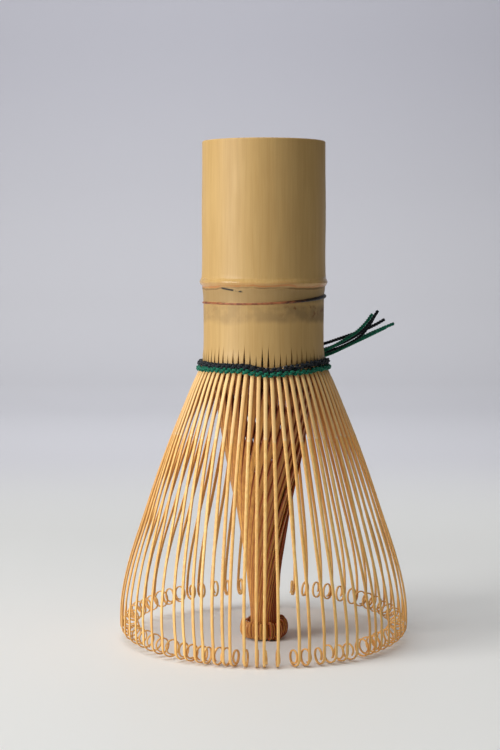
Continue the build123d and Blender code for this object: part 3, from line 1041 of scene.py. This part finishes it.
@dataclass
class InnerTines:
    """The gathered, twisted bundle with its rosette of outward curls."""

    root_radius: float = 11.62
    waist_radius: float = 2.62
    top_z: float = 60.95
    twist: float = -100.0
    twist_power: float = 1.6
    twist_end: float = 0.94
    forward: float = 2.2
    forward_power: float = 1.4
    curl_radius: float = 1.26
    curl_turn: float = 262.0
    width: Outline = Outline((
        (0.0, 1.05), (0.10, 1.30), (0.25, 1.52), (0.55, 1.20), (1.0, 0.70)))
    root_thick: float = 0.40
    waist_thick: float = 0.30
    shingle: float = 34.0
    curl_rise: float = 1.75
    shape: Outline = Outline(
        ((0.0, 0.0), (0.12, 0.13), (0.26, 0.28), (0.40, 0.45), (0.54, 0.65),
         (0.68, 0.81), (0.84, 0.94), (0.94, 0.995), (1.0, 1.0)))
    stem_steps: int = 34
    curl_steps: int = 22

    def stations(self, index: int) -> list[Station]:
        """Cross-sections of one tine, from its root to the end of its curl."""
        count = SIZES.segments * SIZES.inner_per_segment
        start = SIZES.first_edge + 360.0 / count * (index + 0.5)
        curl_radius = self.curl_radius + 0.16 * wobble(index, 15)
        turn = radians(self.curl_turn + 44.0 * wobble(index, 16))
        low_z = self.curl_rise * curl_radius + 0.10 + 0.25 * abs(wobble(index, 17))
        swing = radians(9.0 * wobble(index, 18))
        top_z = self.top_z + row_dip(start)
        line = []
        for step in range(self.stem_steps + 1):
            fall = step / self.stem_steps
            gather = self.shape.at(fall)
            radius = self.root_radius + (self.waist_radius - self.root_radius) * gather
            radius += 0.22 * wobble(index, 19) * sin(pi * fall) ** 2
            turned = min(fall / self.twist_end, 1.0) ** self.twist_power
            angle = radians(start + self.twist * turned)
            ahead_of_axis = self.forward * fall**self.forward_power
            point = Vector((
                radius * cos(angle), radius * sin(angle) - ahead_of_axis,
                top_z + (low_z - top_z) * fall,
            ))
            line.append((point, angle, fall))
        foot, angle, _ = line[-1]
        out = Vector((cos(angle + swing), sin(angle + swing), 0))
        for step in range(1, self.curl_steps + 1):
            reach = turn * step / self.curl_steps
            radius = curl_radius * (1.0 - 0.05 * reach)
            point = foot + out * (curl_radius - radius * cos(reach))
            point.z = foot.z - self.curl_rise * radius * sin(reach)
            line.append((point, angle + swing, 1.0))
        stations = []
        for step, (point, angle, fall) in enumerate(line):
            ahead = line[min(step + 1, len(line) - 1)][0] - line[max(step - 1, 0)][0]
            ahead.normalize()
            tilt = radians(self.shingle) * fall + angle
            wide = Vector((-sin(tilt), cos(tilt), 0))
            across = (wide - ahead * wide.dot(ahead)).normalized()
            width = self.width.at(fall)
            thick = self.root_thick + (self.waist_thick - self.root_thick) * fall
            stations.append(Station(
                point * MM, across, ahead.cross(across), width * MM, thick * MM))
        return stations

    def build(self) -> None:
        """Make one piece for each section of the culm."""
        finish = TineFinish(
            "inner_tine", skin=linear(255, 200, 112), golden=linear(255, 196, 102),
            # The root colour is painted shade near the roots, laid partly on the outer faces
            # as well.
            side=linear(150, 64, 18), root=linear(128, 56, 20), shave_z=None,
            # Full side colour at the edges: partly the cut sides' own colour, partly painted
            # shade between the splints.
            root_shade_on_face=0.55, tone_share=0.52, side_and_edge_shade_share=1.0)
        material = finish.material()
        for segment in range(SIZES.segments):
            builder = MeshBuilder()
            for tine in range(SIZES.inner_per_segment):
                index = segment * SIZES.inner_per_segment + tine
                tone = 0.5 + 0.5 * wobble(index, 14)
                builder.strip(self.stations(index), Section.SPLINT, tone)
            name = f"{segment + 1:02d}"
            piece = builder.piece(f"bundle_tines_{name}", material)
            settle(piece, "inner_bundle", [f"inner_tines_{name}"])


@dataclass
class Culm:
    """The uncut culm with its node, its hollow and the tongues of its split end."""

    profile: Outline = Outline((
        (61.75, 13.50), (63.2, 13.46), (64.6, 13.33), (68.0, 13.28), (72.0, 13.30),
        (75.0, 13.33), (76.6, 13.40), (77.8, 13.57), (78.2, 13.60), (78.6, 13.90),
        (79.15, 14.17), (79.6, 13.98), (80.2, 13.74), (81.5, 13.66), (83.5, 13.62),
        (87.0, 13.60), (94.0, 13.68), (104.0, 13.55), (109.86, 13.53), (110.0, 13.42)))
    bore_radius: float = 10.95
    comb_inner: float = 11.75
    wall_start: float = 1.0
    slot_widest: float = 0.36
    slot_power: float = 1.3
    tongue_columns: int = 6
    septum_low: float = 77.7
    septum_high: float = 80.7
    scar_z: float = 74.66
    scar_climb: float = 1.45
    scar_size: float = 0.48
    scar_growth: float = 0.40
    torn_half: float = 52.0

    def heights(self) -> list[float]:
        """Heights of the mesh's rows, close set at the slots and the node."""
        rows = [SIZES.comb_end_z + 0.36 * step for step in range(14)]
        rows += [67.4, 68.8, 70.2, 71.6, 73.0, 74.0, 74.6, 75.2, 76.0, 76.8, 77.3]
        rows += [77.6 + 0.14 * step for step in range(20)]
        rows += [80.6, 81.2, 82.2, 83.6, 86.0, 89.0, 92.5, 96.0, 100.0, 104.0, 107.0]
        return rows + [109.0, 109.6, 109.86, 110.0]

    def slot_top(self, index: int) -> float:
        """Apex of one slot, uneven round the culm."""
        apex = SIZES.comb_end_z + SIZES.slot_height
        return apex + SIZES.slot_step * wobble(index % SIZES.tine_count, 3)

    def angle(self, column: int, z: float) -> float:
        """Azimuth in radians of one mesh column at height z."""
        per_tine = self.tongue_columns + 1
        tine, step = divmod(column, per_tine)
        left = self.slot_share(tine, z) / 2
        right = self.slot_share(tine + 1, z) / 2
        share = left + (1.0 - left - right) * step / self.tongue_columns
        return radians(SIZES.first_edge + SIZES.pitch * (tine + share))

    def slot_share(self, index: int, z: float) -> float:
        """Width of a slot at height z, as a share of the pitch."""
        fall = (self.slot_top(index) - z) / SIZES.slot_height
        return self.slot_widest * min(max(fall, 0.0), 1.0) ** self.slot_power

    def radius(self, z: float, angle: float) -> float:
        """Radius of the skin, with the node's unevenness."""
        near_node = exp(-(((z - SIZES.node_z) / 2.2) ** 2))
        shift = near_node * (0.12 * sin(2 * angle + 0.9) + 0.06 * sin(5 * angle))
        uneven = near_node * 0.045 * sin(7 * angle + 0.4) * sin(3 * angle)
        slow = 0.035 * sin(2 * angle + 0.6) + 0.018 * sin(3 * angle + z * 0.08)
        return self.profile.at(z - shift) + uneven + slow

    def shell(self, material: bpy.types.Material) -> bpy.types.Object:
        """Build the wall of the culm as one closed shell."""
        rows = self.heights()
        columns = SIZES.tine_count * (self.tongue_columns + 1)
        bm = bmesh.new()
        bmesh.ops.create_grid(bm, x_segments=columns, y_segments=len(rows) - 1, size=0.5)
        cell = {}
        for vert in bm.verts:
            column = round((vert.co.x + 0.5) * columns)
            row = round((vert.co.y + 0.5) * (len(rows) - 1))
            cell[vert] = (column, row)
        slots = []
        for face in bm.faces:
            face.smooth = True
            column = min(cell[vert][0] for vert in face.verts)
            low = min(cell[vert][1] for vert in face.verts)
            tine, step = divmod(column, self.tongue_columns + 1)
            if step == self.tongue_columns and rows[low] < self.slot_top(tine + 1) - 0.02:
                slots.append(face)
        for vert, (column, row) in cell.items():
            z = rows[row]
            angle = self.angle(column, z)
            radius = self.radius(z, angle)
            fade = 1.0 - smooth_step(SIZES.comb_end_z, SIZES.comb_end_z + 4.0, z)
            z += row_dip(angle / pi * 180.0) * fade
            vert.co = Vector((radius * cos(angle), radius * sin(angle), z)) * MM
        bmesh.ops.delete(bm, geom=slots, context="FACES")
        bmesh.ops.remove_doubles(bm, verts=bm.verts[:], dist=2e-6)
        bmesh.ops.recalc_face_normals(bm, faces=bm.faces[:])
        skin = set(bm.verts)
        bmesh.ops.solidify(bm, geom=bm.faces[:], thickness=self.wall_start * MM)
        inner = {vert for vert in bm.verts if vert not in skin}
        near = sum(v.co.xy.length for v in inner) / len(inner)
        outer = sum(v.co.xy.length for v in skin) / len(skin)
        moved = inner if near < outer else skin
        for vert in moved:
            flat = Vector((vert.co.x, vert.co.y, 0))
            z = vert.co.z / MM
            bore = self.comb_inner + (self.bore_radius - self.comb_inner) * smooth_step(
                66.6, 69.6, z)
            if z > 109.8:
                bore += 0.15
            vert.co = flat.normalized() * bore * MM + Vector((0, 0, vert.co.z))
        bmesh.ops.recalc_face_normals(bm, faces=bm.faces[:])
        for edge in bm.edges:
            edge.smooth = edge.calc_face_angle(0.0) < radians(48.0)
        return finish_mesh(bm, "culm", material)

    def septum(self, material: bpy.types.Material) -> bpy.types.Object:
        """Build the dished wall that closes the culm at its node."""
        bm = bmesh.new()
        edge = self.bore_radius + 0.05
        outline = [(0.0, self.septum_high - 0.7), (edge * 0.55, self.septum_high - 0.5),
                   (edge * 0.88, self.septum_high), (edge, self.septum_high + 0.5),
                   (edge, self.septum_low - 0.3), (0.0, self.septum_low)]
        verts = [bm.verts.new((r * MM, 0, z * MM)) for r, z in outline]
        edges = [bm.edges.new(pair) for pair in zip(verts, verts[1:])]
        bmesh.ops.spin(bm, geom=verts + edges, cent=(0, 0, 0), axis=(0, 0, 1),
                       angle=2 * pi, steps=72, use_merge=True)
        bmesh.ops.remove_doubles(bm, verts=bm.verts[:], dist=1e-6)
        bmesh.ops.recalc_face_normals(bm, faces=bm.faces[:])
        for face in bm.faces:
            face.smooth = True
        return finish_mesh(bm, "septum", material)

    def scar(self) -> bpy.types.Object:
        """Build the raised ring left by the culm's sheath, thick and torn on the right."""
        builder = MeshBuilder()
        stations = []
        steps = 220
        for step in range(steps + 1):
            angle = 2 * pi * step / steps - pi
            torn = exp(-((angle / radians(self.torn_half)) ** 2))
            size = self.scar_size + self.scar_growth * torn + 0.05 * wobble(step % steps, 31)
            z = self.scar_z + self.scar_climb * torn + 0.05 * sin(4 * angle)
            z += 0.02 * wobble(step % steps, 32)
            r = self.radius(z, angle) - 0.02 + 0.08 * torn
            centre = Vector((r * cos(angle), r * sin(angle), z)) * MM
            out = Vector((cos(angle), sin(angle), 0))
            stations.append(Station(centre, Vector((0, 0, 1)), out, size * MM,
                                    (size * 0.9 + 0.1) * MM))
        builder.strip(stations, Section.ROUND, 0.5)
        return builder.piece("sheath_scar", ScarFinish().material())

    def build(self) -> None:
        """Make the culm's pieces."""
        material = CulmFinish().material()
        settle(self.shell(material), "handle", ["handle_culm"])
        settle(self.septum(material), "handle")
        settle(self.scar(), "handle")


@dataclass
class TwinedRow:
    """One row of thread twined round the tines: two strands that swap at each tine.

    Args:
        dye: Colour of the thread.
        node: Name of the frame's node that it stands for.
        middle_z: Height of the row's middle in millimetres.
        front: Radius of a strand's middle in front of a tine.
        back: Radius of a strand's middle behind a tine.
        rise: How far the row wanders up at each azimuth.
        thickness: Diameter of a strand.
        slant: Rise and fall of a strand from tine to tine.
    """

    dye: Dye
    node: str
    middle_z: float
    front: float
    back: float
    rise: Outline = BLACK_RISE
    thickness: float = 0.94
    slant: float = 0.27
    steps_per_tine: int = 9

    def path(self, strand: int) -> list[Vector]:
        """Middle line of one strand, all the way round."""
        steps = SIZES.tine_count * self.steps_per_tine
        points = []
        for step in range(steps + 1):
            turn = (step % steps) / self.steps_per_tine
            azimuth = radians(SIZES.first_edge + SIZES.pitch * turn)
            phase = pi * (turn - 0.5) + pi * strand
            swing = cos(phase)
            reach = (abs(swing) ** 0.55) * (1.0 if swing > 0 else -1.0)
            middle = (self.front + self.back) / 2
            radius = middle + (self.front - self.back) / 2 * reach
            nearest = round(turn - 0.5)
            jog = 0.10 * wobble(nearest % SIZES.tine_count, 41 + self.middle_z)
            turned = (SIZES.first_edge + SIZES.pitch * turn + 180.0) % 360.0 - 180.0
            z = self.middle_z + self.rise.at(turned) + self.slant * sin(phase) + jog
            points.append(Vector((radius * cos(azimuth), radius * sin(azimuth), z)) * MM)
        return points

    def build(self) -> None:
        """Make the row of two strands, each of two plies."""
        builder = MeshBuilder()
        for strand in range(2):
            path = self.path(strand)
            for ply in range(2):
                stations = ply_stations(
                    path, ply, 2, self.thickness / 2 * MM, 1.5 * MM)
                builder.strip(stations, Section.ROUND, (strand * 2 + ply) / 4)
        piece = builder.piece(f"twined_{self.dye.value}_row", COTTON[self.dye])
        settle(piece, "handle", [self.node])


@dataclass
class Hitch:
    """A small overhand knot that ends a thread behind the culm."""

    dye: Dye
    node: str
    azimuth: float
    radius: float
    z: float
    size: float = 0.78

    def build(self) -> None:
        """Tie the knot as a closed trefoil of thread."""
        place = Matrix.Rotation(radians(self.azimuth), 4, "Z")
        path = []
        steps = 72
        for step in range(steps + 1):
            t = 2 * pi * step / steps
            along = (sin(t) + 1.5 * sin(2 * t)) * 0.46 * self.size
            up = (cos(t) - 1.5 * cos(2 * t)) * 0.34 * self.size
            out = -sin(3 * t) * 0.40 * self.size
            path.append(place @ Vector((self.radius + out, along, self.z + up)) * MM)
        builder = MeshBuilder()
        for ply in range(2):
            stations = ply_stations(path, ply, 2, 0.30 * MM, 1.3 * MM)
            builder.strip(stations, Section.ROUND, ply / 2)
        piece = builder.piece(f"{self.dye.value}_hitch", COTTON[self.dye])
        settle(piece, "handle", [self.node])


def main() -> None:
    """Build the studio and the whisk, piece by piece."""
    logging.basicConfig(level=logging.INFO)
    studio = Studio()
    studio.camera()
    for free_end in FREE_ENDS:
        free_end.build()
    studio.build()
    Culm().build()
    OuterTines().build()
    InnerTines().build()
    TwinedRow(Dye.BLACK, "black_thread", 61.12, 14.28, 12.65, BLACK_RISE, 1.06).build()
    TwinedRow(Dye.GREEN, "green_thread", 59.82, 14.62, 13.05, GREEN_RISE).build()
    Hitch(Dye.BLACK, "black_knot", 108.0, 15.3, 61.12).build()
    Hitch(Dye.GREEN, "green_knot", 94.0, 15.7, 59.87).build()


if __name__ == "__main__":
    main()
